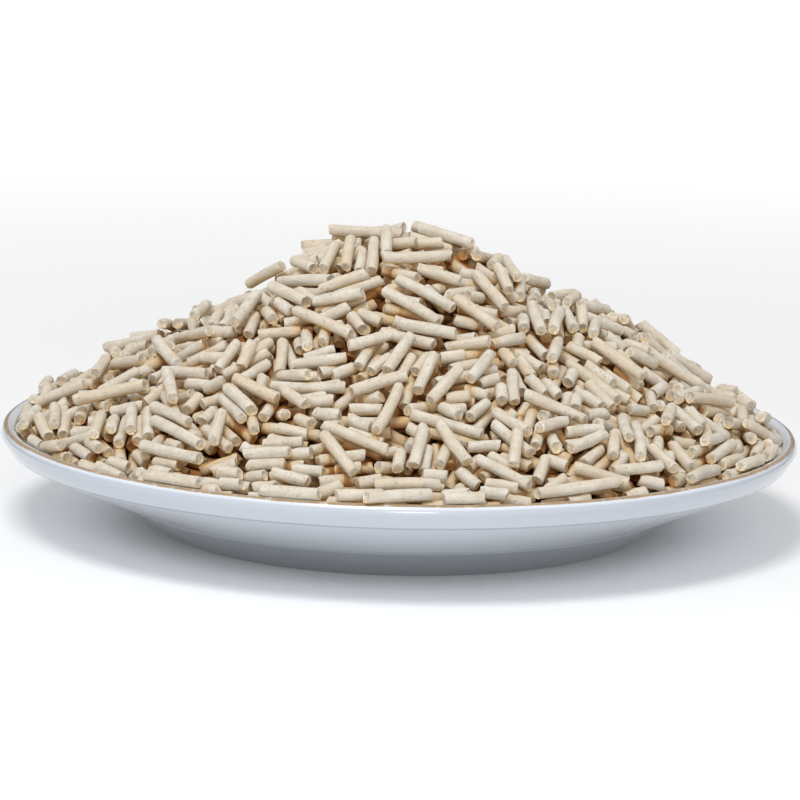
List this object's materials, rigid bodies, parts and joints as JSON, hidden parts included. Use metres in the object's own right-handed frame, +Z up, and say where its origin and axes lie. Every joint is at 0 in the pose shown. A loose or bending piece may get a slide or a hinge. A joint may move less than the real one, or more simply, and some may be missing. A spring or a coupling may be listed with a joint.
{
  "type": "plate of cat litter pellets",
  "caption": "Shallow round glazed plate on a foot ring, heaped into a cone with short loose extruded cat litter pellets.",
  "frame": {"origin": "centre of the plate's foot ring, on the surface that it stands on", "axes": "+Z up along the plate's axis, -Y towards the viewer of the picture, +X to the viewer's right"},
  "size_m": [0.203, 0.203, 0.0781],
  "materials": {
    "glaze": "gloss white glaze with a thin gold-brown rim line",
    "litter": "matt cream extruded plant fibre"
  },
  "bodies": {
    "root": {"plate": "glaze", "litter_heap": "litter", "pellet_01": "litter", "pellet_02": "litter", "pellet_03": "litter", "pellet_04": "litter", "pellet_05": "litter", "pellet_06": "litter", "pellet_07": "litter", "pellet_08": "litter", "pellet_09": "litter", "pellet_10": "litter", "pellet_11": "litter", "pellet_12": "litter", "pellet_13": "litter", "pellet_14": "litter", "pellet_15": "litter", "pellet_16": "litter", "pellet_17": "litter", "pellet_18": "litter", "pellet_19": "litter", "pellet_20": "litter", "pellet_21": "litter", "pellet_22": "litter", "pellet_23": "litter", "pellet_24": "litter", "pellet_25": "litter", "pellet_26": "litter", "pellet_27": "litter", "pellet_28": "litter", "pellet_29": "litter", "pellet_30": "litter", "pellet_31": "litter", "pellet_32": "litter", "pellet_33": "litter", "pellet_34": "litter", "pellet_35": "litter", "pellet_36": "litter", "pellet_37": "litter", "pellet_38": "litter", "pellet_39": "litter", "pellet_40": "litter", "pellet_41": "litter", "pellet_42": "litter", "pellet_43": "litter", "pellet_44": "litter", "pellet_45": "litter", "pellet_46": "litter", "pellet_47": "litter", "pellet_48": "litter", "pellet_49": "litter", "pellet_50": "litter", "pellet_51": "litter", "pellet_52": "litter", "pellet_53": "litter", "pellet_54": "litter"}
  },
  "joints": []
}
